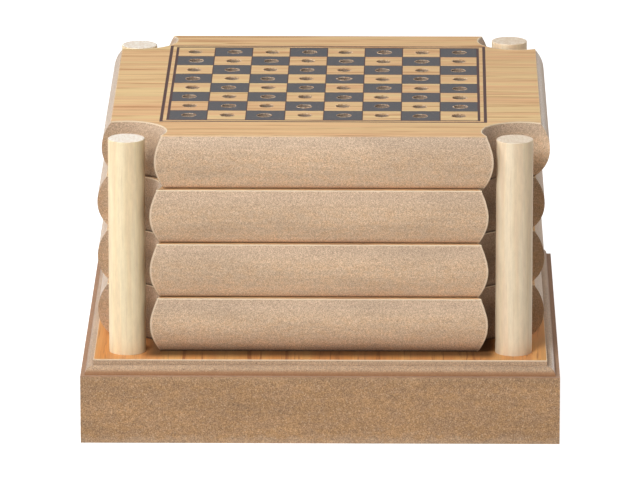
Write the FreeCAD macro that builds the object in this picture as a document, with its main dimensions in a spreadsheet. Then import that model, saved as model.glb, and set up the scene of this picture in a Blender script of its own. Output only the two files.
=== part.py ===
import FreeCAD, Part
import math
import os
import re

import Sketcher
from FreeCAD import Rotation, Vector

# A travel games stand in wood. A square moulded base carries four dowel posts, and four
# peg boards drop over the posts and stack between them. A compartment in the underside of
# the base, closed by a sliding lid, holds the pegs.
# Millimetres. The origin is the middle of the base's underside, +X is to the right,
# +Y is to the rear and +Z is up.

doc = FreeCAD.newDocument("peg_board_stand")

SIZES = (
    ("base_width", 130.0, "side of the square base"),
    ("base_thickness", 22.3, "MDF of the base, without its veneer"),
    ("face_height", 18.7, "height of the base's upright face"),
    ("ledge_inset", 1.2, "width of the flat ledge at the foot of the moulding"),
    ("ovolo_radius", 2.2, "quarter-round of the moulding"),
    ("step_inset", 3.5, "from the base's face in to its veneered top"),
    ("step_foot", 21.0, "height at which the quarter-round ends and the step rises"),
    ("veneer_thickness", 0.3, "veneer on the base and on each board"),
    ("post_diameter", 10.0, "dowel"),
    ("post_offset", 52.5, "post's axis from the middle of the base, in X and in Y"),
    ("post_edge", 0.3, "eased edge round a post's tip"),
    ("socket_depth", 14.0, "blind bore that a post is glued into"),
    ("glue_gap", 0.05, "all round a glued post"),
    ("front_post_reach", 59.6, "front posts, above the base's top"),
    ("rear_left_reach", 60.6, "rear left post, above the base's top"),
    ("rear_right_reach", 62.0, "rear right post, above the base's top"),
    ("board_face", 117.0, "side of a board's flat top"),
    ("board_foot", 113.4, "side of a board's flat underside"),
    ("edge_radius", 10.15, "rounded edge of a board, from its underside to its top"),
    ("core_thickness", 14.9, "MDF of a board"),
    ("notch_radius", 11.0, "round corner notch"),
    ("notch_left", 54.1, "left notches' centres, from the middle of the board"),
    ("notch_right", 53.3, "right notches' centres, from the middle of the board"),
    ("notch_offset", 53.2, "each notch's centre, ahead of or behind the middle of the board"),
    ("board_setback", 4.0, "boards lie this far to the rear, near the rear posts"),
    ("top_board_shift", 1.3, "the top board also lies this far to the right"),
    ("hole_diameter", 4.0, "peg hole"),
    ("hole_depth", 8.0, "peg hole, from the veneer's face"),
    ("hole_wander", 0.3, "how far a drilled hole lies off its place in the pattern"),
    ("square_pitch", 10.6, "chequered board, one square"),
    ("chequer_right", -0.5, "chequered board, middle of the pattern"),
    ("chequer_back", 1.45, "chequered board, middle of the pattern"),
    ("chequer_turn", -0.3, "chequered board, degrees that the pattern lies askew"),
    ("row_pitch", 13.0, "four in a row and solitaire, one hole to the next"),
    ("mill_pitch", 16.0, "morris, one ring to the next"),
    ("store_width", 70.0, "peg compartment, left to right"),
    ("store_front", 45.0, "front end of the compartment, ahead of the middle"),
    ("store_back", 45.0, "rear end of the compartment, behind the middle"),
    ("store_ceiling", 16.0, "top of the compartment"),
    ("groove_floor", 3.0, "underside of the lid's groove"),
    ("groove_ceiling", 6.0, "top of the lid's groove"),
    ("groove_reach", 4.0, "how far the groove runs beyond the compartment's wall"),
    ("lid_gap", 0.3, "clearance round the lid"),
    ("thumb_radius", 9.0, "thumb recess in the lid"),
    ("thumb_depth", 1.2, "thumb recess in the lid"),
    ("thumb_back", 28.0, "thumb recess, behind the middle"),
    ("peg_diameter", 3.7, "peg"),
    ("peg_length", 20.0, "peg"),
    ("peg_edge", 0.6, "eased end of a peg"),
    ("peg_pitch", 4.0, "one stored peg to the next"),
    ("peg_lane", 23.0, "one lane of stored pegs to the next"),
)
PEGS_A_SIDE = 21
WANDER_TURN = 0.7

sheet = doc.addObject("Spreadsheet::Sheet", "sizes")
for row, (alias, value, meaning) in enumerate(SIZES, start=1):
    sheet.set(f"A{row}", meaning)
    sheet.set(f"B{row}", str(value))
    sheet.setAlias(f"B{row}", alias)
doc.recompute()
ALIASES = {alias for alias, value, meaning in SIZES}


def size(alias):
    """A driving dimension, read from the sheet."""
    return float(sheet.get(alias))


def sized(expression):
    """An expression in the sheet's own words, with the sheet named before each of them."""

    def name(match):
        word = match.group()
        return f"sizes.{word}" if word in ALIASES else word

    return re.sub(r"[a-z_]+", name, expression)


def bind(item, **expressions):
    """Ties properties of an object to the sheet. A double underscore stands for a dot."""
    for prop, expression in expressions.items():
        item.setExpression(prop.replace("__", "."), sized(expression))


def place(item, x="0", y="0", z="0"):
    bind(item, Placement__Base__x=x, Placement__Base__y=y, Placement__Base__z=z)


def measured(item, expression):
    """The present value of an expression."""
    result = item.evalExpression(sized(expression))
    return float(getattr(result, "Value", result))


# ---------------------------------------------------------------- sketches

def level_sketch(body, name, height="0"):
    """A sketch in the body's own XY plane, lifted to a height."""
    sketch = body.newObject("Sketcher::SketchObject", name)
    planes = {plane.Role: plane for plane in body.Origin.OriginFeatures if hasattr(plane, "Role")}
    sketch.AttachmentSupport = (planes["XY_Plane"], [""])
    sketch.MapMode = "FlatFace"
    bind(sketch, AttachmentOffset__Base__z=height)
    return sketch


def constrain(sketch, kind, *arguments):
    return sketch.addConstraint(Sketcher.Constraint(kind, *arguments))


def drive(sketch, kind, geometry, point, expression):
    """Holds one coordinate of a point at an expression's value, or on the axis at nought."""
    value = measured(sketch, expression)
    if value == 0:
        axis = -2 if kind == "DistanceX" else -1
        constrain(sketch, "PointOnObject", geometry, point, axis)
        return
    number = constrain(sketch, kind, -1, 1, geometry, point, value)
    sketch.setExpression(f"Constraints[{number}]", sized(expression))


def add_rectangle(sketch, left, right, front, back):
    """A rectangle whose four sides are held at four expressions."""
    low = Vector(measured(sketch, left), measured(sketch, front), 0)
    high = Vector(measured(sketch, right), measured(sketch, back), 0)
    corners = [low, Vector(high.x, low.y, 0), high, Vector(low.x, high.y, 0)]
    first = sketch.GeometryCount
    for start, end in zip(corners, corners[1:] + corners[:1]):
        sketch.addGeometry(Part.LineSegment(start, end), False)
    for side in range(4):
        constrain(sketch, "Coincident", first + side, 2, first + (side + 1) % 4, 1)
        constrain(sketch, "Vertical" if side % 2 else "Horizontal", first + side)
    drive(sketch, "DistanceX", first, 1, left)
    drive(sketch, "DistanceY", first, 1, front)
    drive(sketch, "DistanceX", first + 2, 1, right)
    drive(sketch, "DistanceY", first + 2, 1, back)


def add_circle(sketch, x, y, radius):
    centre = Vector(measured(sketch, x), measured(sketch, y), 0)
    circle = Part.Circle(centre, Vector(0, 0, 1), measured(sketch, radius))
    number = sketch.addGeometry(circle, False)
    drive(sketch, "DistanceX", number, 3, x)
    drive(sketch, "DistanceY", number, 3, y)
    held = constrain(sketch, "Radius", number, circle.Radius)
    sketch.setExpression(f"Constraints[{held}]", sized(radius))


# ---------------------------------------------------------------- PartDesign features

def new_body(label):
    body = doc.addObject("PartDesign::Body", label)
    body.Label = label
    return body


def pad(body, sketch, length):
    feature = body.newObject("PartDesign::Pad", f"{sketch.Name}_pad")
    feature.Profile = sketch
    bind(feature, Length=length)
    sketch.Visibility = False
    doc.recompute()
    return feature


def pocket(body, sketch, length, upwards=False):
    """Cuts a sketch out of the body, and makes sure that something was cut."""
    before = body.Shape.Volume
    feature = body.newObject("PartDesign::Pocket", f"{sketch.Name}_pocket")
    feature.Profile = sketch
    feature.Reversed = upwards
    bind(feature, Length=length)
    doc.recompute()
    if body.Shape.Volume > before - 1:
        raise RuntimeError(f"{feature.Name} cut nothing")
    return feature


def round_edges(body, radius, chosen):
    """Rounds the edges of the body's last feature that the test picks out."""
    base = body.Tip
    names = [f"Edge{number}" for number, edge in enumerate(base.Shape.Edges, start=1) if chosen(edge)]
    feature = body.newObject("PartDesign::Fillet", f"{base.Name}_round")
    feature.Base = (base, names)
    bind(feature, Radius=radius)
    doc.recompute()
    return feature


def edge_height(edge):
    """The height of a level edge, or None for any other."""
    box = edge.BoundBox
    return box.ZMin if box.ZLength < 1e-6 else None


# ---------------------------------------------------------------- base

POST_PLACES = {
    "post_front_left": ("-post_offset", "-post_offset", "front_post_reach"),
    "post_front_right": ("post_offset", "-post_offset", "front_post_reach"),
    "post_rear_left": ("-post_offset", "post_offset", "rear_left_reach"),
    "post_rear_right": ("post_offset", "post_offset", "rear_right_reach"),
}
BASE_TOP = "(base_thickness + veneer_thickness)"


def centred_square(sketch, side):
    add_rectangle(sketch, f"-({side}) / 2", f"({side}) / 2", f"-({side}) / 2", f"({side}) / 2")


def post_holes(sketch):
    for x, y, reach in POST_PLACES.values():
        add_circle(sketch, x, y, "post_diameter / 2 + glue_gap")


def make_base_block():
    """A square block, moulded round its top edge, with post sockets and a peg compartment."""
    body = new_body("base_block")

    face = level_sketch(body, "face_outline")
    centred_square(face, "base_width")
    pad(body, face, "face_height")

    ovolo = level_sketch(body, "ovolo_outline", "face_height")
    centred_square(ovolo, "base_width - 2 * ledge_inset")
    pad(body, ovolo, "step_foot - face_height")
    step_foot = size("step_foot")
    round_edges(body, "ovolo_radius", lambda edge: edge_height(edge) == step_foot)

    step = level_sketch(body, "step_outline", "step_foot")
    centred_square(step, "base_width - 2 * step_inset")
    pad(body, step, "base_thickness - step_foot")

    sockets = level_sketch(body, "post_sockets", "base_thickness")
    post_holes(sockets)
    pocket(body, sockets, "socket_depth")

    store = level_sketch(body, "peg_compartment")
    add_rectangle(store, "-store_width / 2", "store_width / 2", "-store_front", "store_back")
    pocket(body, store, "store_ceiling", upwards=True)

    groove = level_sketch(body, "lid_groove", "groove_floor")
    groove_half = "store_width / 2 + groove_reach"
    add_rectangle(
        groove,
        f"-({groove_half})",
        groove_half,
        "-store_front - groove_reach",
        "base_width / 2 + 1",
    )
    pocket(body, groove, "groove_ceiling - groove_floor", upwards=True)
    return body


def make_base_veneer():
    """The base's veneered top, with the posts coming up through it."""
    body = new_body("base_veneer")
    outline = level_sketch(body, "base_veneer_outline")
    centred_square(outline, "base_width - 2 * step_inset")
    post_holes(outline)
    pad(body, outline, "veneer_thickness")
    place(body, z="base_thickness")
    return body


def make_post(label, x, y, reach):
    """A dowel from the floor of its socket up to an eased tip."""
    body = new_body(label)
    length = f"socket_depth + veneer_thickness + {reach}"
    section = level_sketch(body, f"{label}_section")
    add_circle(section, "0", "0", "post_diameter / 2")
    pad(body, section, length)
    tip = measured(body, length)
    round_edges(body, "post_edge", lambda edge: edge_height(edge) == tip)
    place(body, x, y, "base_thickness - socket_depth")
    return body


def make_lid():
    """A thin lid that slides in the groove under the base, with a round thumb recess."""
    body = new_body("compartment_lid")
    half = "store_width / 2 + groove_reach - lid_gap"
    outline = level_sketch(body, "lid_outline")
    add_rectangle(
        outline,
        f"-({half})",
        half,
        "-store_front - groove_reach + lid_gap",
        "base_width / 2 - lid_gap",
    )
    pad(body, outline, "groove_ceiling - groove_floor - 2 * lid_gap")
    thumb = level_sketch(body, "thumb_recess")
    add_circle(thumb, "0", "thumb_back", "thumb_radius")
    pocket(body, thumb, "thumb_depth", upwards=True)
    place(body, z="groove_floor + lid_gap")
    return body


# ---------------------------------------------------------------- pegs

def make_pegs(label, lane):
    """One side's pegs, lying in a row in one lane of the compartment, as separate solids."""
    radius = size("peg_diameter") / 2
    length = size("peg_length")
    solids = []
    for number in range(PEGS_A_SIDE):
        y = (number - (PEGS_A_SIDE - 1) / 2) * size("peg_pitch")
        peg = Part.makeCylinder(radius, length, Vector(-length / 2, y, 0), Vector(1, 0, 0))
        ends = [edge for edge in peg.Edges if isinstance(edge.Curve, Part.Circle)]
        solids.append(peg.makeFillet(size("peg_edge"), ends))
    feature = doc.addObject("Part::Feature", label)
    feature.Label = label
    feature.Shape = Part.makeCompound(solids)
    place(feature, x=f"{lane} * peg_lane", z="groove_ceiling + peg_diameter / 2")
    return feature


# ---------------------------------------------------------------- boards

def edge_profile(name):
    """A board's section: flat below and above, with an arc bulging out at each end."""
    thickness = size("core_thickness")
    radius = size("edge_radius")
    low_right = Vector(size("board_foot") / 2, 0, 0)
    high_right = Vector(size("board_face") / 2, thickness, 0)
    low_left = Vector(-low_right.x, 0, 0)
    high_left = Vector(-high_right.x, thickness, 0)

    chord = high_right - low_right
    inward = Vector(-chord.y, chord.x, 0).normalize()
    middle = (low_right + high_right) / 2 + inward * math.sqrt(radius**2 - (chord.Length / 2) ** 2)
    start = math.atan2(low_right.y - middle.y, low_right.x - middle.x)
    end = math.atan2(high_right.y - middle.y, high_right.x - middle.x)
    right_circle = Part.Circle(middle, Vector(0, 0, 1), radius)
    left_circle = Part.Circle(Vector(-middle.x, middle.y, 0), Vector(0, 0, 1), radius)

    sketch = doc.addObject("Sketcher::SketchObject", name)
    sketch.addGeometry(Part.LineSegment(low_left, low_right), False)
    sketch.addGeometry(Part.ArcOfCircle(right_circle, start, end), False)
    sketch.addGeometry(Part.LineSegment(high_right, high_left), False)
    sketch.addGeometry(Part.ArcOfCircle(left_circle, math.pi - end, math.pi - start), False)
    for piece in range(4):
        constrain(sketch, "Coincident", piece, 2, (piece + 1) % 4, 1)
    constrain(sketch, "Horizontal", 2)
    drive(sketch, "DistanceX", 0, 1, "-board_foot / 2")
    drive(sketch, "DistanceX", 0, 2, "board_foot / 2")
    drive(sketch, "DistanceY", 0, 1, "0")
    drive(sketch, "DistanceY", 0, 2, "0")
    drive(sketch, "DistanceX", 2, 1, "board_face / 2")
    drive(sketch, "DistanceY", 2, 1, "core_thickness")
    drive(sketch, "DistanceX", 2, 2, "-board_face / 2")
    for arc in (1, 3):
        held = constrain(sketch, "Radius", arc, radius)
        sketch.setExpression(f"Constraints[{held}]", sized("edge_radius"))
    return sketch


def edge_run(name, turn):
    """The section of a board, run straight through it in one direction."""
    sketch = edge_profile(f"{name}_profile")
    sketch.Placement.Rotation = Rotation(Vector(0, 0, 1), turn) * Rotation(Vector(1, 0, 0), 90)
    run = doc.addObject("Part::Extrusion", name)
    run.Base = sketch
    run.DirMode = "Normal"
    run.Solid = True
    run.Symmetric = True
    bind(run, LengthFwd="board_face + 2 * edge_radius")
    return run


def notch_cutters():
    """The four round corner notches that clear the posts."""
    cylinders = []
    for x, y in (("-notch_left", -1), ("notch_right", -1), ("notch_right", 1), ("-notch_left", 1)):
        cylinder = doc.addObject("Part::Cylinder", f"notch_{len(cylinders) + 1}")
        bind(cylinder, Radius="notch_radius", Height="core_thickness + 2")
        place(cylinder, x, f"{y} * notch_offset", "-1")
        cylinders.append(cylinder)
    cutters = doc.addObject("Part::Compound", "notch_cutters")
    cutters.Links = cylinders
    return cutters


def cut(name, base, tool):
    feature = doc.addObject("Part::Cut", name)
    feature.Label = name
    feature.Base = base
    feature.Tool = tool
    return feature


def chequer_holes():
    """A hole in each of the 64 squares, in a pattern that lies a little askew."""
    pitch = size("square_pitch")
    steps = [(number - 3.5) * pitch for number in range(8)]
    middle = Vector(size("chequer_right"), size("chequer_back"), 0)
    askew = Rotation(Vector(0, 0, 1), size("chequer_turn"))
    spots = [middle + askew.multVec(Vector(x, y, 0)) for x in steps for y in steps]
    return [(spot.x, spot.y) for spot in spots]


def four_in_a_row_holes():
    """Seven columns of six."""
    pitch = size("row_pitch")
    return [(x * pitch, (y - 2.5) * pitch) for x in range(-3, 4) for y in range(6)]


def solitaire_holes():
    """A cross of 33, three holes wide."""
    pitch = size("row_pitch")
    steps = range(-3, 4)
    return [(x * pitch, y * pitch) for x in steps for y in steps if abs(x) < 2 or abs(y) < 2]


def morris_holes():
    """Three square rings, with a hole at each corner and at the middle of each side."""
    pitch = size("mill_pitch")
    ways = [(x, y) for x in (-1, 0, 1) for y in (-1, 0, 1) if (x, y) != (0, 0)]
    return [(x * ring * pitch, y * ring * pitch) for ring in (1, 2, 3) for x, y in ways]


def drill_pattern(name, holes):
    """Peg holes, from the veneer's face down, in a board that lies with its underside at 0.

    They are drilled by hand, so each lies a little off its place, in a direction of its own."""
    top = size("core_thickness") + size("veneer_thickness")
    depth = size("hole_depth")
    radius = size("hole_diameter") / 2
    wander = size("hole_wander")
    spare = 1.0
    drills = []
    for number, (x, y) in enumerate(holes):
        turn = WANDER_TURN * number**2
        foot = Vector(x + wander * math.cos(turn), y + wander * math.sin(turn), top - depth)
        drills.append(Part.makeCylinder(radius, depth + spare, foot))
    feature = doc.addObject("Part::Feature", name)
    feature.Shape = Part.makeCompound(drills)
    return feature


def make_boards():
    """Four boards from one blank, each drilled for its own game, stacked from the base up."""
    solid_run = doc.addObject("Part::Common", "bullnosed_block")
    solid_run.Base = edge_run("run_front_to_back", 0)
    solid_run.Tool = edge_run("run_left_to_right", 90)
    notches = notch_cutters()
    core_blank = cut("core_blank", solid_run, notches)

    sheet_blank = doc.addObject("Part::Box", "veneer_sheet")
    bind(sheet_blank, Length="board_face", Width="board_face", Height="veneer_thickness")
    place(sheet_blank, "-board_face / 2", "-board_face / 2", "core_thickness")
    veneer_blank = cut("veneer_blank", sheet_blank, notches)

    games = (morris_holes, solitaire_holes, four_in_a_row_holes, chequer_holes)
    pieces = []
    for number, holes in enumerate(games, start=1):
        drills = drill_pattern(f"board_{number}_drills", holes())
        height = f"{BASE_TOP} + {number - 1} * (core_thickness + veneer_thickness)"
        shift = "top_board_shift" if number == len(games) else "0"
        for layer, blank in (("core", core_blank), ("veneer", veneer_blank)):
            piece = cut(f"board_{number}_{layer}", blank, drills)
            place(piece, shift, "board_setback", height)
            pieces.append(piece)
    return pieces


# ---------------------------------------------------------------- assembly

base_block = make_base_block()
base_veneer = make_base_veneer()
posts = [make_post(label, *spot) for label, spot in POST_PLACES.items()]
lid = make_lid()
light_pegs = make_pegs("pegs_light", -1)
dark_pegs = make_pegs("pegs_dark", 0)
boards = make_boards()
doc.recompute()

for item in doc.Objects:
    if {"Invalid", "Error"} & set(item.State):
        raise RuntimeError(f"{item.Name} failed: {item.State}")

os.makedirs("parts", exist_ok=True)
for piece in [base_block, base_veneer, *posts, lid, light_pegs, dark_pegs, *boards]:
    shape = piece.Shape
    if shape.isNull() or not shape.isValid():
        raise RuntimeError(f"{piece.Label} has no valid shape")
    count = PEGS_A_SIDE if piece in (light_pegs, dark_pegs) else 1
    if len(shape.Solids) != count:
        raise RuntimeError(f"{piece.Label} has {len(shape.Solids)} solids, not {count}")
    shape.exportStep(f"parts/{piece.Label}.step")
    print(f"{piece.Label}: {shape.Volume:.0f} mm3")
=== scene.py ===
"""Looks for the stacking peg board stand. Metres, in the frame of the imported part."""

import math

import bpy
from mathutils import Euler, Matrix, Vector


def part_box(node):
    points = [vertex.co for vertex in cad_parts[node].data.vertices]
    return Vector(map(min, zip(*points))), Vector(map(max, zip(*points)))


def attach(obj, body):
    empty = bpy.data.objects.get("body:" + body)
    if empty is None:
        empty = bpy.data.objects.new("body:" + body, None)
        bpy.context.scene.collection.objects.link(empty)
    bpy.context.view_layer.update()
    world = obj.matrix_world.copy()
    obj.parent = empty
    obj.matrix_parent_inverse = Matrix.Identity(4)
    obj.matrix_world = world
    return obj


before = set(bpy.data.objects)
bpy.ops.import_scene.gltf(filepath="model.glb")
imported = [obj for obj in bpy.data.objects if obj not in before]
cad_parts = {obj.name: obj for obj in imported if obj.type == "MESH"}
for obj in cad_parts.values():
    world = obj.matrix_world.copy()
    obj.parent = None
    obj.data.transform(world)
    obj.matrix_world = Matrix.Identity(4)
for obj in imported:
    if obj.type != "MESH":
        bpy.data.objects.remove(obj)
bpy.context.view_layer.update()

MM = 0.001
BOARDS = (1, 2, 3, 4)
POSTS = ("post_front_left", "post_front_right", "post_rear_left", "post_rear_right")


# ---------------------------------------------------------------- camera

LENS_MM = 409.2
SENSOR_MM = 36.0
CLIP_END = 20.0
CAMERA_TARGET = Vector((-0.0007, -0.0003, 0.0399))
CAMERA_DISTANCE = 2.0267
CAMERA_ELEVATION = math.radians(14.915)
CAMERA_TURN = math.radians(0.613)


def add_camera():
    """A long lens, a little above the boards and almost square to the front."""
    data = bpy.data.cameras.new("camera")
    data.lens = LENS_MM
    data.sensor_width = SENSOR_MM
    data.clip_end = CLIP_END
    camera = bpy.data.objects.new("camera", data)
    turn = Euler((math.pi / 2 - CAMERA_ELEVATION, 0, CAMERA_TURN))
    camera.rotation_euler = turn
    camera.location = CAMERA_TARGET + turn.to_matrix() @ Vector((0, 0, CAMERA_DISTANCE))
    bpy.context.scene.collection.objects.link(camera)
    bpy.context.scene.camera = camera


# ---------------------------------------------------------------- light and floor

# The surround's strength from below and from above, which blend over a band at the horizon,
# and how much stronger it is on the left than in the middle.
BELOW = 0.74
ABOVE = 0.17
HORIZON = 0.15
LEFTWARD = 0.2
WARM = (1.0, 0.955, 0.9, 1.0)

LIT_POINT = Vector((0, 0, 0.04))
WHITE = (1.0, 1.0, 1.0)
COOL = (1.0, 1.05, 1.1)

FLOOR_HALF = 6.0
FLOOR_DROP = 0.1 * MM
FLOOR_GREY = 0.4
FLOOR_ROUGHNESS = 0.9
FLOOR_GLOW = 0.88


def set_range(node, start, end, low, high):
    """Makes a map range node run from low at start to high at end."""
    for name, number in (("From Min", start), ("From Max", end), ("To Min", low), ("To Max", high)):
        node.inputs[name].default_value = number


def add_surround(scene):
    """Light from all round, as in a white tent: set above and below, and stronger on the left."""
    world = bpy.data.worlds.new("surround")
    world.use_nodes = True
    nodes = world.node_tree.nodes
    links = world.node_tree.links
    coordinates = nodes.new("ShaderNodeTexCoord")
    split = nodes.new("ShaderNodeSeparateXYZ")
    links.new(coordinates.outputs["Generated"], split.inputs[0])
    product = nodes.new("ShaderNodeMath")
    product.operation = "MULTIPLY"
    ranges = (("Z", HORIZON, BELOW, ABOVE), ("X", 1.0, 1 + LEFTWARD, 1 - LEFTWARD))
    for socket, (axis, reach, low, high) in zip(product.inputs, ranges):
        ramp = nodes.new("ShaderNodeMapRange")
        set_range(ramp, -reach, reach, low, high)
        links.new(split.outputs[axis], ramp.inputs["Value"])
        links.new(ramp.outputs["Result"], socket)
    links.new(product.outputs[0], nodes["Background"].inputs["Strength"])
    nodes["Background"].inputs["Color"].default_value = WARM
    scene.world = world


def add_floor(scene):
    """A glowing white floor just below the object, which gets no diffuse light from it."""
    near, far = -FLOOR_HALF, FLOOR_HALF
    corners = [(near, near, 0), (far, near, 0), (far, far, 0), (near, far, 0)]
    mesh = bpy.data.meshes.new("floor")
    mesh.from_pydata(corners, [], [(0, 1, 2, 3)])
    floor = bpy.data.objects.new("floor", mesh)
    floor.location.z = -FLOOR_DROP
    floor.visible_diffuse = False
    scene.collection.objects.link(floor)
    material = bpy.data.materials.new("floor")
    material.use_nodes = True
    shader = material.node_tree.nodes["Principled BSDF"]
    shader.inputs["Base Color"].default_value = (FLOOR_GREY, FLOOR_GREY, FLOOR_GREY, 1)
    shader.inputs["Roughness"].default_value = FLOOR_ROUGHNESS
    shader.inputs["Emission Color"].default_value = (*WHITE, 1)
    shader.inputs["Emission Strength"].default_value = FLOOR_GLOW
    mesh.materials.append(material)


def soft_light(name, turn, climb, distance, size, strength, colour=WHITE):
    """A round soft light, by its angles from the front (left is negative) and from the floor.

    At a strength of 1 it alone brings a white surface that faces it to full white."""
    data = bpy.data.lights.new(name, "AREA")
    data.shape = "DISK"
    data.size = size
    data.energy = strength * (math.pi * distance) ** 2
    data.color = colour
    light = bpy.data.objects.new(name, data)
    turn = math.radians(turn)
    climb = math.radians(climb)
    level = math.cos(climb)
    away = Vector((level * math.sin(turn), -level * math.cos(turn), math.sin(climb)))
    light.location = LIT_POINT + away * distance
    light.rotation_euler = away.to_track_quat("Z", "Y").to_euler()
    bpy.context.scene.collection.objects.link(light)


def add_stage():
    """The surround, the floor and three soft lights."""
    scene = bpy.context.scene
    scene.view_settings.view_transform = "Standard"
    add_surround(scene)
    add_floor(scene)
    soft_light("key", turn=-22, climb=40, distance=1.0, size=0.36, strength=0.72, colour=COOL)
    soft_light("left", turn=-90, climb=36, distance=0.8, size=0.28, strength=0.43, colour=COOL)
    soft_light("back", turn=135, climb=30, distance=1.4, size=0.8, strength=0.34)


# ---------------------------------------------------------------- material graphs

# Half the width, in millimetres, over which a printed edge fades.
EDGE = 0.04


class Graph:
    """A material's node tree, built from small steps.

    Its coordinates are in millimetres, in the object's frame at rest."""

    def __init__(self, name, roughness):
        self.material = bpy.data.materials.new(name)
        self.material.use_nodes = True
        self.nodes = self.material.node_tree.nodes
        self.links = self.material.node_tree.links
        self.shader = self.nodes["Principled BSDF"]
        self.shader.inputs["Roughness"].default_value = roughness

    def feed(self, socket, value):
        """Links a socket to another socket, or sets it to a constant. None leaves it as it is."""
        if isinstance(value, bpy.types.NodeSocket):
            self.links.new(value, socket)
        elif value is not None:
            socket.default_value = value

    def place(self, centre=(0, 0, 0), stretch=(1, 1, 1)):
        """The point in millimetres from a centre, with each axis stretched.

        The centre is in metres. A far one gives noise that matches no other noise."""
        coordinates = self.nodes.new("ShaderNodeTexCoord")
        mapping = self.nodes.new("ShaderNodeMapping")
        mapping.vector_type = "POINT"
        scale = [factor / MM for factor in stretch]
        self.links.new(coordinates.outputs["Object"], mapping.inputs["Vector"])
        mapping.inputs["Scale"].default_value = scale
        mapping.inputs["Location"].default_value = [-c * s for c, s in zip(centre, scale)]
        return mapping.outputs["Vector"]

    def split(self, vector):
        """A vector's X, Y and Z."""
        node = self.nodes.new("ShaderNodeSeparateXYZ")
        self.feed(node.inputs[0], vector)
        return node.outputs["X"], node.outputs["Y"], node.outputs["Z"]

    def height(self):
        """How far the point lies above the base's underside."""
        return self.split(self.place())[2]

    def math(self, operation, first, second=None, third=None):
        """One operation on numbers."""
        node = self.nodes.new("ShaderNodeMath")
        node.operation = operation
        for socket, value in zip(node.inputs, (first, second, third)):
            self.feed(socket, value)
        return node.outputs[0]

    def chain(self, operation, values):
        """One operation of two numbers, taken along a row of values."""
        total = values[0]
        for value in values[1:]:
            total = self.math(operation, total, value)
        return total

    def product(self, *values):
        """All the values multiplied."""
        return self.chain("MULTIPLY", values)

    def either(self, *masks):
        """The strongest of the masks at each point."""
        return self.chain("MAXIMUM", masks)

    def distance(self, x, y):
        """How far a point lies from the origin."""
        return self.math("SQRT", self.math("ADD", self.math("POWER", x, 2), self.math("POWER", y, 2)))

    def reach(self, x, y):
        """Half the side of the centred square that a point lies on."""
        return self.math("MAXIMUM", self.math("ABSOLUTE", x), self.math("ABSOLUTE", y))

    def off_axes(self, x, y):
        """How far a point lies from the nearer of the two axes."""
        return self.math("MINIMUM", self.math("ABSOLUTE", x), self.math("ABSOLUTE", y))

    def off_grid(self, value, pitch):
        """How far a value lies from the nearest multiple of a pitch."""
        return self.math("PINGPONG", value, pitch / 2)

    def noise(self, vector, scale=1.0, detail=3.0, roughness=0.5, distortion=0.0):
        """Cloudy noise from 0 to 1, mostly between 0.3 and 0.7."""
        node = self.nodes.new("ShaderNodeTexNoise")
        self.feed(node.inputs["Vector"], vector)
        node.inputs["Scale"].default_value = scale
        node.inputs["Detail"].default_value = detail
        node.inputs["Roughness"].default_value = roughness
        node.inputs["Distortion"].default_value = distortion
        return node.outputs["Fac"]

    def dots(self, vector, scale, small, large):
        """Scattered dots: 1 out to the small radius, 0 from the large one, as shares of a cell."""
        node = self.nodes.new("ShaderNodeTexVoronoi")
        self.feed(node.inputs["Vector"], vector)
        node.inputs["Scale"].default_value = scale
        return self.fade(node.outputs["Distance"], large, small)

    def fade(self, value, start, end, low=0.0, high=1.0):
        """A smooth step from low at start to high at end."""
        node = self.nodes.new("ShaderNodeMapRange")
        node.interpolation_type = "SMOOTHSTEP"
        self.feed(node.inputs["Value"], value)
        set_range(node, start, end, low, high)
        return node.outputs["Result"]

    def within(self, value, limit, edge=EDGE):
        """1 below a limit and 0 above it."""
        return self.fade(value, limit + edge, limit - edge)

    def band(self, value, target, half_width):
        """1 where a value is within half a line's width of a target."""
        return self.within(self.math("ABSOLUTE", self.math("SUBTRACT", value, target)), half_width)

    def mix(self, factor, first, second):
        """The first colour, and the second where the factor is 1."""
        node = self.nodes.new("ShaderNodeMix")
        node.data_type = "RGBA"
        sockets = [socket for socket in node.inputs if socket.enabled]
        for socket, value in zip(sockets, (factor, first, second)):
            self.feed(socket, value)
        return next(socket for socket in node.outputs if socket.enabled)

    def shade(self, colour, factor):
        """The colour times a factor that may vary."""
        node = self.nodes.new("ShaderNodeVectorMath")
        node.operation = "SCALE"
        self.feed(node.inputs[0], colour)
        self.feed(node.inputs["Scale"], factor)
        return node.outputs[0]

    def bump(self, height, depth, strength):
        """Makes the surface look rough, by a height whose whole range is a depth in metres."""
        bump = self.nodes.new("ShaderNodeBump")
        bump.inputs["Strength"].default_value = strength
        bump.inputs["Distance"].default_value = depth
        self.feed(bump.inputs["Height"], height)
        self.feed(self.shader.inputs["Normal"], bump.outputs["Normal"])

    def finish(self, colour):
        """Gives the shader its colour, and hands over the material."""
        self.feed(self.shader.inputs["Base Color"], colour)
        return self.material


def tone(red, green, blue):
    """A colour given in the 0 to 255 values of a screen, as linear light."""
    channels = []
    for value in (red, green, blue):
        value /= 255
        channels.append(value / 12.92 if value <= 0.04045 else ((value + 0.055) / 1.055) ** 2.4)
    return (*channels, 1.0)


# ---------------------------------------------------------------- corner notches of the boards

# From the middle of a board. The left notches lie further out than the right ones, so the
# middle of each pair is a little to the left.
NOTCH_RADIUS = 11.0
NOTCH_LEFTWARD = 0.4
NOTCH_REACH = 53.7
NOTCH_OFFSET = 53.2


def notch_radius(graph, x, y):
    """How far a point of a board lies from the axis of its nearest corner notch."""
    sideways = graph.math("ABSOLUTE", graph.math("ADD", x, NOTCH_LEFTWARD))
    across = graph.math("SUBTRACT", sideways, NOTCH_REACH)
    back = graph.math("SUBTRACT", graph.math("ABSOLUTE", y), NOTCH_OFFSET)
    return graph.distance(across, back)


# ---------------------------------------------------------------- bare fibreboard

FUZZ = 0.6
FUZZ_ROUGHNESS = 0.35

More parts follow.
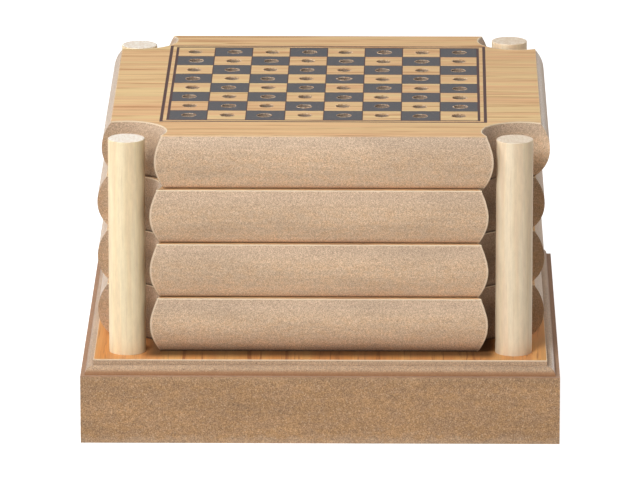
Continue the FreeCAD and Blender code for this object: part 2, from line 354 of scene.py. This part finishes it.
# The tones of the inside, of warmer patches in it, of the dense skins, of the pale fibres and
# of the dark chips.
BOARD_FIBRE = tone(236, 214, 184)
BOARD_TONES = (
    tone(203, 171, 140),
    tone(208, 171, 135),
    tone(200, 171, 144),
    BOARD_FIBRE,
    tone(134, 98, 76),
)
BASE_TONES = (
    tone(170, 132, 96),
    tone(178, 136, 93),
    tone(192, 160, 130),
    tone(204, 168, 130),
    tone(106, 74, 52),
)
BASE_COARSE = 1.2
FLAKE_TONE = tone(238, 212, 178)

# How far below the top and above the underside a skin begins and is full, and the height
# over which its ragged edge can stray.
UPPER_SKIN = (5.5, 0.6)
LOWER_SKIN = (2.6, 0.3)
SKIN_STRAY = 5.0

# How far below the top the chips begin to darken, and where they are darkest.
CHIP_DEPTH = (1.8, 0.3)

# Painted shade, darker and more orange, low on the base's moulding: the heights where it begins and is
# full, from below and from above.
MOULDING_SHADE_LOWER = (18.4, 18.8)
MOULDING_SHADE_UPPER = (20.4, 19.4)
MOULDING_SHADE_TONE = tone(162, 115, 78)

# Where the painted shade begins and is full: in the notches, towards the middle of the board and down
# from its top; in the holes, in from the rim and well above the underside.
NOTCH_SHADE_SIDE = (50.5, 47.0)
NOTCH_SHADE_RISE = (14.0, 7.0)
HOLE_SHADE_REACH = (52.0, 51.0)
HOLE_SHADE_RISE = (3.0, 3.5)

# How far outside a notch its painted highlight, a thin pale line, begins, is full, starts to fade and
# ends.
ARRIS_HIGHLIGHT = (0.05, 0.1, 0.3, 0.5)

# Painted light from below and painted shade under each board: how far above its underside a board is
# palest and is plain again, and where the painted shade of the groove under it is darkest and has ended.
PAINTED_LIGHT_RISE = (1.0, 5.5)
CREVICE_SHADE_RISE = (0.2, 0.8)


def dense_skins(graph, cloud, height, bottom, top):
    """Where the dense skins show: strong below the top, weak above the underside."""
    ragged = graph.math("MULTIPLY_ADD", graph.math("SUBTRACT", cloud, 0.5), SKIN_STRAY, height)
    upper = graph.fade(ragged, *[top - depth for depth in UPPER_SKIN], high=0.95)
    lower = graph.fade(ragged, *[bottom + rise for rise in LOWER_SKIN], high=0.5)
    return graph.either(upper, lower)


def fibre_shade(graph, fibres, coarse):
    """The light and shade of fibres, clumps of them, level streaks and long smudges."""
    clumps = graph.noise(graph.place((7, 3, 5)), scale=1.6 / coarse, detail=2)
    streaks = graph.noise(graph.place(stretch=(0.05, 0.05, 1.1)), detail=2)
    smudges = graph.noise(graph.place((0, 0, 4), (0.028, 0.028, 0.13)), detail=3, roughness=0.6)
    return graph.product(
        graph.fade(fibres, 0.28, 0.6, 1 - 0.36 * coarse, 1 + 0.08 * coarse),
        graph.fade(clumps, 0.3, 0.7, 1 - 0.08 * coarse, 1 + 0.07 * coarse),
        graph.fade(streaks, 0.35, 0.65, 0.97, 1.03),
        graph.fade(smudges, 0.38, 0.62, 0.94, 1.05),
    )


def dark_chips(graph, height, top, coarse):
    """Scattered dark chips, in some places only, and darkest near the top."""
    chips = graph.dots(graph.place((1, 4, 2)), scale=1.5 / coarse, small=0.1, large=0.3)
    some = graph.fade(graph.noise(graph.place((3, 1, 9)), scale=0.8, detail=1), 0.46, 0.58)
    near_top = graph.fade(height, *[top - depth for depth in CHIP_DEPTH], low=0.4)
    return graph.product(chips, some, near_top, 0.75)


def fibreboard(name, tones, coarse=1.0):
    """Raw fibreboard: a speckle of fine fibres, warm inside and greyer at its dense skins.

    Returns the graph, the colour and the corners of its box, for the marks that follow."""
    body, warm, skin, pale, dark = tones
    low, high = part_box(name)
    bottom, top = low.z / MM, high.z / MM
    graph = Graph(name, roughness=0.9)
    graph.shader.inputs["Sheen Weight"].default_value = FUZZ
    graph.shader.inputs["Sheen Roughness"].default_value = FUZZ_ROUGHNESS
    height = graph.height()

    cloud = graph.noise(graph.place(stretch=(0.5, 0.5, 1.0)), scale=0.6, detail=4, roughness=0.6)
    colour = graph.mix(graph.fade(cloud, 0.38, 0.64), body, warm)
    colour = graph.mix(dense_skins(graph, cloud, height, bottom, top), colour, skin)
    fibres = graph.noise(graph.place(), scale=4.0 / coarse, detail=2, roughness=0.75)
    colour = graph.mix(graph.fade(fibres, 0.5, 0.72, high=0.55), colour, pale)
    colour = graph.shade(colour, fibre_shade(graph, fibres, coarse))
    colour = graph.mix(dark_chips(graph, height, top, coarse), colour, dark)
    flakes = graph.dots(graph.place((5, 2, 8)), scale=1.3 / coarse, small=0.08, large=0.26)
    colour = graph.mix(graph.product(flakes, 0.35), colour, FLAKE_TONE)
    graph.bump(fibres, depth=0.1 * MM, strength=0.4)
    return graph, colour, low, high


def painted_recess_shade(graph, x, y, rise, radius):
    """How light the wood stays under the painted shade in the notches and in the holes."""
    notch = graph.within(radius, NOTCH_RADIUS + 2 * EDGE)
    sideways = graph.math("ABSOLUTE", graph.math("ADD", x, NOTCH_LEFTWARD))
    inner = graph.fade(sideways, *NOTCH_SHADE_SIDE, high=0.44)
    notch_shade = graph.product(notch, inner, graph.fade(rise, *NOTCH_SHADE_RISE, low=0.1))
    hole_shade = graph.fade(graph.reach(x, y), *HOLE_SHADE_REACH, high=0.42)
    hole_shade = graph.product(hole_shade, graph.fade(rise, *HOLE_SHADE_RISE))
    hole_shade = graph.product(hole_shade, graph.math("SUBTRACT", 1.0, notch))
    return graph.math("SUBTRACT", 1.0, graph.either(notch_shade, hole_shade))


def board_core(number):
    """A board's fibreboard: paler low down from painted light, and darker from painted shade where it
    meets what is under it.

    Its notches and holes get painted shade, and the notches have thin pale painted highlights just
    outside them."""
    graph, colour, low, high = fibreboard(f"board_{number}_core", BOARD_TONES)
    rise = graph.math("SUBTRACT", graph.height(), low.z / MM)
    # Painted light from below makes the board paler low down, and painted shade darkens the groove where
    # it meets what is under it.
    paler = graph.fade(rise, *PAINTED_LIGHT_RISE, low=1.22)
    crevice_shade = graph.fade(rise, *CREVICE_SHADE_RISE, low=0.4)
    colour = graph.shade(colour, graph.product(paler, crevice_shade))
    x, y, _ = graph.split(graph.place((low + high) / 2))
    radius = notch_radius(graph, x, y)
    # Painted shade in the notches, towards the board's middle and low down, and on the walls of the
    # holes.
    colour = graph.shade(colour, painted_recess_shade(graph, x, y, rise, radius))
    # A painted highlight: a thin pale line just outside each notch.
    begin, full, fading, end = [NOTCH_RADIUS + outside for outside in ARRIS_HIGHLIGHT]
    arris_highlight = graph.product(graph.fade(radius, begin, full, high=0.5), graph.fade(radius, end, fading))
    return graph.finish(graph.mix(arris_highlight, colour, BOARD_FIBRE))


def base_block():
    """The base's coarser fibreboard, with a band of darker, more orange painted shade low on its
    moulding.
    """
    graph, colour, *_ = fibreboard("base_block", BASE_TONES, BASE_COARSE)
    height = graph.height()
    # A band of painted shade, darker and more orange, low on the moulding.
    lower = graph.fade(height, *MOULDING_SHADE_LOWER, high=0.8)
    upper = graph.fade(height, *MOULDING_SHADE_UPPER)
    return graph.finish(graph.mix(graph.product(lower, upper), colour, MOULDING_SHADE_TONE))


# ---------------------------------------------------------------- straight grain

def straight_grain(graph, centre, along, tones, streak_tone, streak_share, coarse=1.0, soft=1.0, run=1.0):
    """Close straight grain along X, Y or Z: wide bands, fine lines and dark streaks.

    The tones are for pale, deep and blushing bands. Returns the colour and the fine lines."""

    def drawn_out(lengthwise, across):
        """A place whose patterns are drawn out along the grain."""
        stretch = [across * coarse] * 3
        stretch["XYZ".index(along)] = lengthwise * run
        return graph.place(centre, stretch)

    pale, deep, blush = tones
    bands = graph.noise(drawn_out(0.006, 0.2), detail=2)
    colour = graph.mix(graph.fade(bands, 0.38, 0.62), pale, deep)
    flush = graph.noise(drawn_out(0.01, 0.24), detail=1)
    colour = graph.mix(graph.fade(flush, 0.46, 0.64, high=0.6), colour, blush)
    lines = graph.noise(drawn_out(0.03, 1.3), detail=3, roughness=0.7)
    colour = graph.shade(colour, graph.fade(lines, 0.3, 0.7, 1 - 0.1 * soft, 1 + 0.08 * soft))
    streaks = graph.noise(drawn_out(0.018, 0.55), detail=4, roughness=0.66, distortion=0.5)
    dark = graph.fade(streaks, 1 - streak_share, 1.1 - streak_share, high=0.8 * soft)
    return graph.mix(dark, colour, streak_tone), lines


# ---------------------------------------------------------------- printed games

# Sizes in millimetres. A line's size is half its width, and the borders of a pair are a gap
# apart, from middle to middle.
LINE_HALF = 0.4
BORDER_GAP = 1.75

# The chequered board lies a little askew, left of the middle and to the rear of it.
SQUARE = 10.6
SQUARES_ALONG = 8
PATTERN_RIGHT = -0.5
PATTERN_BACK = 1.45
PATTERN_TURN = math.radians(-0.3)
HAIR_HALF = 0.14
INNER_BORDER_HALF = 0.36
OUTER_BORDER_HALF = 0.43

# Four in a row and solitaire share a pitch, and the morris board's rings have their own.
ROW_PITCH = 13.0
DISC_RADIUS = 4.8
FRAME_GAP = 1.0
NET_HALF = 0.3
RING_RADIUS = 50.0
MILL_PITCH = 16.0


def grid_lines(graph, x, y, pitch, half_width):
    """Thin lines both ways, at the multiples of a pitch."""
    across = graph.within(graph.off_grid(x, pitch), half_width)
    along = graph.within(graph.off_grid(y, pitch), half_width)
    return graph.either(across, along)


def chequer_print(graph, x, y):
    """Eight by eight squares, dark at the front left, with hairlines and a double border."""
    right = graph.math("SUBTRACT", x, PATTERN_RIGHT)
    back = graph.math("SUBTRACT", y, PATTERN_BACK)
    cosine = math.cos(PATTERN_TURN)
    sine = math.sin(PATTERN_TURN)
    x = graph.math("MULTIPLY_ADD", right, cosine, graph.math("MULTIPLY", back, sine))
    y = graph.math("MULTIPLY_ADD", back, cosine, graph.math("MULTIPLY", right, -sine))
    column = graph.math("FLOOR", graph.math("DIVIDE", x, SQUARE))
    row = graph.math("FLOOR", graph.math("DIVIDE", y, SQUARE))
    odd = graph.math("FLOORED_MODULO", graph.math("ADD", column, row), 2.0)
    half = SQUARES_ALONG / 2 * SQUARE
    reach = graph.reach(x, y)
    inside = graph.within(reach, half, EDGE / 2)
    fill = graph.product(graph.math("SUBTRACT", 1.0, odd), inside)
    hairs = graph.product(grid_lines(graph, x, y, SQUARE, HAIR_HALF), inside)
    inner_border = graph.band(reach, half, INNER_BORDER_HALF)
    outer_border = graph.band(reach, half + BORDER_GAP, OUTER_BORDER_HALF)
    return fill, graph.either(hairs, inner_border, outer_border)


def row_print(graph, x, y):
    """A disc round each hole of seven columns of six, in a framed field."""
    column = graph.off_grid(x, ROW_PITCH)
    row = graph.off_grid(graph.math("ADD", y, ROW_PITCH / 2), ROW_PITCH)
    wide = graph.math("SUBTRACT", graph.math("ABSOLUTE", x), ROW_PITCH / 2)
    reach = graph.either(wide, graph.math("ABSOLUTE", y))
    inside = graph.within(reach, 3 * ROW_PITCH, EDGE / 2)
    discs = graph.product(graph.within(graph.distance(column, row), DISC_RADIUS), inside)
    return discs, graph.band(reach, 3 * ROW_PITCH + FRAME_GAP, LINE_HALF)


def solitaire_print(graph, x, y):
    """A thin line from hole to hole of the cross, in a double round border."""
    arm = graph.within(graph.off_axes(x, y), ROW_PITCH + LINE_HALF - EDGE)
    end = graph.within(graph.reach(x, y), 3 * ROW_PITCH + LINE_HALF - EDGE)
    net = graph.product(grid_lines(graph, x, y, ROW_PITCH, NET_HALF), arm, end)
    radius = graph.distance(x, y)
    inner_ring = graph.band(radius, RING_RADIUS, LINE_HALF)
    outer_ring = graph.band(radius, RING_RADIUS + BORDER_GAP, LINE_HALF)
    return None, graph.either(net, inner_ring, outer_ring)


def morris_print(graph, x, y):
    """Three square rings joined at the middles of their sides."""
    reach = graph.reach(x, y)
    rings = [graph.band(reach, ring * MILL_PITCH, LINE_HALF) for ring in (1, 2, 3)]
    spoke = graph.within(graph.off_axes(x, y), LINE_HALF)
    outside = graph.fade(reach, MILL_PITCH - EDGE, MILL_PITCH + EDGE)
    spokes = graph.product(spoke, outside, graph.within(reach, 3 * MILL_PITCH))
    return None, graph.either(spokes, *rings)


# From the lowest board to the top one.
PRINTS = (morris_print, solitaire_print, row_print, chequer_print)


# ---------------------------------------------------------------- veneers

INK = tone(92, 91, 94)
LINE_INK = tone(90, 66, 64)
CUT_EDGE = tone(238, 220, 190)

# How far outside a notch the veneer's pale edge ends and is full, and how far in from a
# sheet's rim its pale edge begins and is full.
NOTCH_EDGE = (0.34, 0.14)
RIM_EDGE = (0.22, 0.08)

# Where the painted shadow of the boards on the base's veneer begins and is full, from the front and from
# the sides.
PAINTED_SHADOW_FRONT = (-61.0, -55.5)
PAINTED_SHADOW_SIDES = (49.0, 45.0)


def cut_rim(graph, x, y, half, strength):
    """A pale line along the rim of a square sheet."""
    return graph.fade(graph.reach(x, y), *[half - inside for inside in RIM_EDGE], high=strength)


def board_veneer(number, printed):
    """A pale striped veneer with one board's game printed on it. The top board's rim is worn."""
    node = f"board_{number}_veneer"
    low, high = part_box(node)
    centre = (low + high) / 2
    half = (high.x - low.x) / 2 / MM
    graph = Graph(f"printed_veneer_{number}", roughness=0.5)
    tones = (tone(232, 197, 142), tone(228, 184, 134), tone(226, 174, 127))
    colour, lines = straight_grain(graph, centre, "X", tones, tone(190, 136, 90), streak_share=0.47)
    x, y, _ = graph.split(graph.place(centre))
    fill, outline = printed(graph, x, y)
    worn = graph.fade(graph.noise(graph.place(centre), scale=1.6, detail=3), 0.3, 0.5, low=0.92)
    if fill is not None:
        colour = graph.mix(graph.product(fill, worn), colour, INK)
    colour = graph.mix(graph.product(outline, worn), colour, LINE_INK)

    edge = [NOTCH_RADIUS + outside for outside in NOTCH_EDGE]
    notch = graph.fade(notch_radius(graph, x, y), *edge, high=0.85)
    rim = cut_rim(graph, x, y, half, strength=0.25 if number == BOARDS[-1] else 0.9)
    colour = graph.mix(graph.either(notch, rim), colour, CUT_EDGE)
    graph.bump(lines, depth=0.03 * MM, strength=0.25)
    return graph.finish(colour)


def base_veneer():
    """Orange softwood veneer, with painted shadow at the foot of the boards and under them, and a pale
    cut edge.
    """
    low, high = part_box("base_veneer")
    centre = (low + high) / 2
    half = (high.x - low.x) / 2 / MM
    graph = Graph("base_veneer", roughness=0.5)
    tones = (tone(230, 168, 100), tone(220, 148, 80), tone(212, 142, 84))
    colour, lines = straight_grain(graph, centre, "Y", tones, tone(158, 88, 42), streak_share=0.46)
    x, y, _ = graph.split(graph.place(centre))
    # Painted shadow on the veneer at the foot of the boards and under them, between the posts.
    between_posts = graph.fade(graph.math("ABSOLUTE", x), *PAINTED_SHADOW_SIDES)
    painted_shadow = graph.product(graph.fade(y, *PAINTED_SHADOW_FRONT, high=0.7), between_posts)
    colour = graph.shade(colour, graph.math("SUBTRACT", 0.94, painted_shadow))
    colour = graph.mix(cut_rim(graph, x, y, half, strength=0.8), colour, CUT_EDGE)
    graph.bump(lines, depth=0.03 * MM, strength=0.25)
    return graph.finish(colour)


# ---------------------------------------------------------------- dowels, pegs and lid

# Each post's side has three tones for its grain, and its end has two.
CREAM = (tone(236, 215, 176), tone(233, 208, 164), tone(231, 203, 164))
CREAM_END = (tone(234, 216, 196), tone(246, 236, 222))
GREY = (tone(232, 211, 179), tone(229, 205, 168), tone(230, 201, 168))
GREY_END = (tone(224, 200, 172), tone(238, 220, 198))
DOWEL_STREAK = tone(206, 172, 132)
PEG_STREAK = tone(214, 182, 138)
DARK_PEG = (tone(96, 62, 42), tone(74, 46, 32), tone(84, 50, 34))
DARK_PEG_STREAK = tone(48, 30, 22)

# How far below a dowel's top its end grain begins and is full.
END_DEPTH = (0.12, 0.04)

# Half the thickness of the plywood's middle layer, and how far in from the lid's edges it
# begins to show and is full.
PLY_CORE_HALF = 0.42
PLY_EDGE = (0.1, 0.02)


def dowel(node, tones, end_tones):
    """Bare dowel: fine upright grain on its side, and paler open pores on its end."""
    low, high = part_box(node)
    centre = (low + high) / 2
    graph = Graph(node, roughness=0.6)
    colour, lines = straight_grain(
        graph, centre, "Z", tones, DOWEL_STREAK, streak_share=0.44, coarse=1.9, soft=0.34, run=2.6
    )
    mottle = graph.noise(graph.place(centre, (1, 1, 0.25)), scale=0.9, detail=4, roughness=0.7)
    colour = graph.shade(colour, graph.fade(mottle, 0.3, 0.7, 0.94, 1.05))
    end = graph.fade(graph.height(), *[high.z / MM - depth for depth in END_DEPTH])
    pores = graph.noise(graph.place(centre, (1, 0.5, 1)), scale=1.3, detail=3, roughness=0.65)
    end_grain = graph.mix(graph.fade(pores, 0.34, 0.66), *end_tones)
    graph.bump(lines, depth=0.04 * MM, strength=0.3)
    return graph.finish(graph.mix(end, colour, end_grain))


def peg(name, tones, streak_tone):
    """Peg wood, with its grain along the pegs, which lie from left to right."""
    graph = Graph(name, roughness=0.55)
    origin = (0, 0, 0)
    colour, lines = straight_grain(graph, origin, "X", tones, streak_tone, streak_share=0.36, coarse=2.0)
    graph.bump(lines, depth=0.04 * MM, strength=0.35)
    return graph.finish(colour)


def lid_wood():
    """Thin birch plywood, with its middle layer showing at the edges."""
    low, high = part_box("compartment_lid")
    centre = (low + high) / 2
    half = (high - low) / 2 / MM
    graph = Graph("lid_plywood", roughness=0.6)
    tones = (tone(232, 208, 168), tone(222, 190, 146), tone(224, 184, 146))
    colour, lines = straight_grain(graph, centre, "Y", tones, tone(180, 134, 92), streak_share=0.36)
    x, y, height = graph.split(graph.place(centre))
    side = graph.fade(graph.math("ABSOLUTE", x), *[half.x - inside for inside in PLY_EDGE])
    end = graph.fade(graph.math("ABSOLUTE", y), *[half.y - inside for inside in PLY_EDGE])
    middle = graph.product(graph.within(graph.math("ABSOLUTE", height), PLY_CORE_HALF), 0.8)
    layer = graph.product(middle, graph.either(side, end))
    graph.bump(lines, depth=0.05 * MM, strength=0.35)
    return graph.finish(graph.mix(layer, colour, tone(150, 104, 66)))


# ---------------------------------------------------------------- torn fibres round the holes

HOLE_RADIUS = 2.0

# Each hole is off its place by the same amount, in a direction that turns from hole to hole.
WANDER = 0.3
WANDER_TURN = 0.7

# A collar has three edges: its inner one down in the hole, its lip, and its outer one on the
# veneer. Their distances are from the hole's edge, and their heights from the veneer's face.
RING_STEPS = 18
INNER_IN = 0.05
INNER_DOWN = 0.15
LIP_IN = 0.02
LIP_UP = 0.02
LIP_UP_PER_SPREAD = 0.3
OUTER_OUT = 0.05
OUTER_UP = 0.01

# How far torn fibres spread: at one hole in eleven, on the dark squares and on the pale ones.
TORN_EVERY = 11
TORN_FIRST = 3
SPREAD_TORN = 0.32
SPREAD_DARK = 0.14
SPREAD_PALE = 0.1


def hole_place(hole, centre):
    """Where one of the top board's holes lies, in millimetres. They count up column by column."""
    column, row = divmod(hole, SQUARES_ALONG)
    middle = (SQUARES_ALONG - 1) / 2
    square = Vector(((column - middle) * SQUARE, (row - middle) * SQUARE, 0))
    askew = Matrix.Rotation(PATTERN_TURN, 3, "Z") @ square
    turn = WANDER_TURN * hole**2
    wander = WANDER * Vector((math.cos(turn), math.sin(turn), 0))
    return centre / MM + Vector((PATTERN_RIGHT, PATTERN_BACK, 0)) + askew + wander


def torn_spread(hole):
    """How far a hole's torn fibres spread at most."""
    if hole % TORN_EVERY == TORN_FIRST:
        return SPREAD_TORN
    column, row = divmod(hole, SQUARES_ALONG)
    return SPREAD_DARK if (column + row) % 2 == 0 else SPREAD_PALE


def raggedness(hole, step):
    """An uneven wave from 0 to 1 that differs from hole to hole."""
    return 0.5 + 0.5 * math.sin(1.7 * hole + 2.3 * step + 3 * math.sin(1.9 * step + hole))


def collar_points(hole, place, face):
    """A collar's three edges at each step round its hole, in metres, from the veneer's face."""
    points = []
    spread = torn_spread(hole)
    for step in range(RING_STEPS):
        angle = 2 * math.pi * step / RING_STEPS
        ragged = raggedness(hole, step)
        inner = (HOLE_RADIUS - INNER_IN, -INNER_DOWN)
        lip = (HOLE_RADIUS - LIP_IN, LIP_UP + LIP_UP_PER_SPREAD * spread * ragged)
        outer = (HOLE_RADIUS + OUTER_OUT + spread * ragged**2, OUTER_UP)
        for radius, rise in (inner, lip, outer):
            x = place.x + radius * math.cos(angle)
            y = place.y + radius * math.sin(angle)
            points.append((x * MM, y * MM, face + rise * MM))
    return points


def collar_faces(first):
    """Faces that join each step's three points to the next step's, from the first point on."""
    faces = []
    for step in range(RING_STEPS):
        here = first + 3 * step
        there = first + 3 * ((step + 1) % RING_STEPS)
        for corner in range(3):
            following = (corner + 1) % 3
            faces.append((here + corner, here + following, there + following, there + corner))
    return faces


def add_burrs():
    """Ragged collars of torn fibre, round the mouths of the top board's holes."""
    low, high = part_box("board_4_veneer")
    centre = (low + high) / 2
    vertices = []
    faces = []
    for hole in range(SQUARES_ALONG**2):
        faces += collar_faces(len(vertices))
        vertices += collar_points(hole, hole_place(hole, centre), high.z)
    mesh = bpy.data.meshes.new("board_4_burrs")
    mesh.from_pydata(vertices, [], faces)
    piece = bpy.data.objects.new("board_4_burrs", mesh)
    bpy.context.scene.collection.objects.link(piece)
    graph = Graph("torn_fibre", roughness=0.9)
    fibres = graph.noise(graph.place(), scale=2.2, detail=3)
    colour = graph.mix(graph.fade(fibres, 0.4, 0.6), tone(184, 140, 104), tone(228, 200, 168))
    mesh.materials.append(graph.finish(colour))
    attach(piece, "board_4")


# ---------------------------------------------------------------- the whole object

def dress(node, material):
    """Puts a material in every slot of a CAD node."""
    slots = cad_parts[node].data.materials
    for number in range(len(slots)):
        slots[number] = material
    if not slots:
        slots.append(material)


def dress_everything():
    """Gives each CAD node its material."""
    for number, printed in zip(BOARDS, PRINTS):
        dress(f"board_{number}_core", board_core(number))
        dress(f"board_{number}_veneer", board_veneer(number, printed))
    dress("base_block", base_block())
    dress("base_veneer", base_veneer())
    for post in POSTS:
        side, end = (GREY, GREY_END) if post.endswith("right") else (CREAM, CREAM_END)
        dress(post, dowel(post, side, end))
    dress("pegs_light", peg("peg_light", CREAM, PEG_STREAK))
    dress("pegs_dark", peg("peg_dark", DARK_PEG, DARK_PEG_STREAK))
    dress("compartment_lid", lid_wood())


add_camera()
add_stage()
dress_everything()
add_burrs()
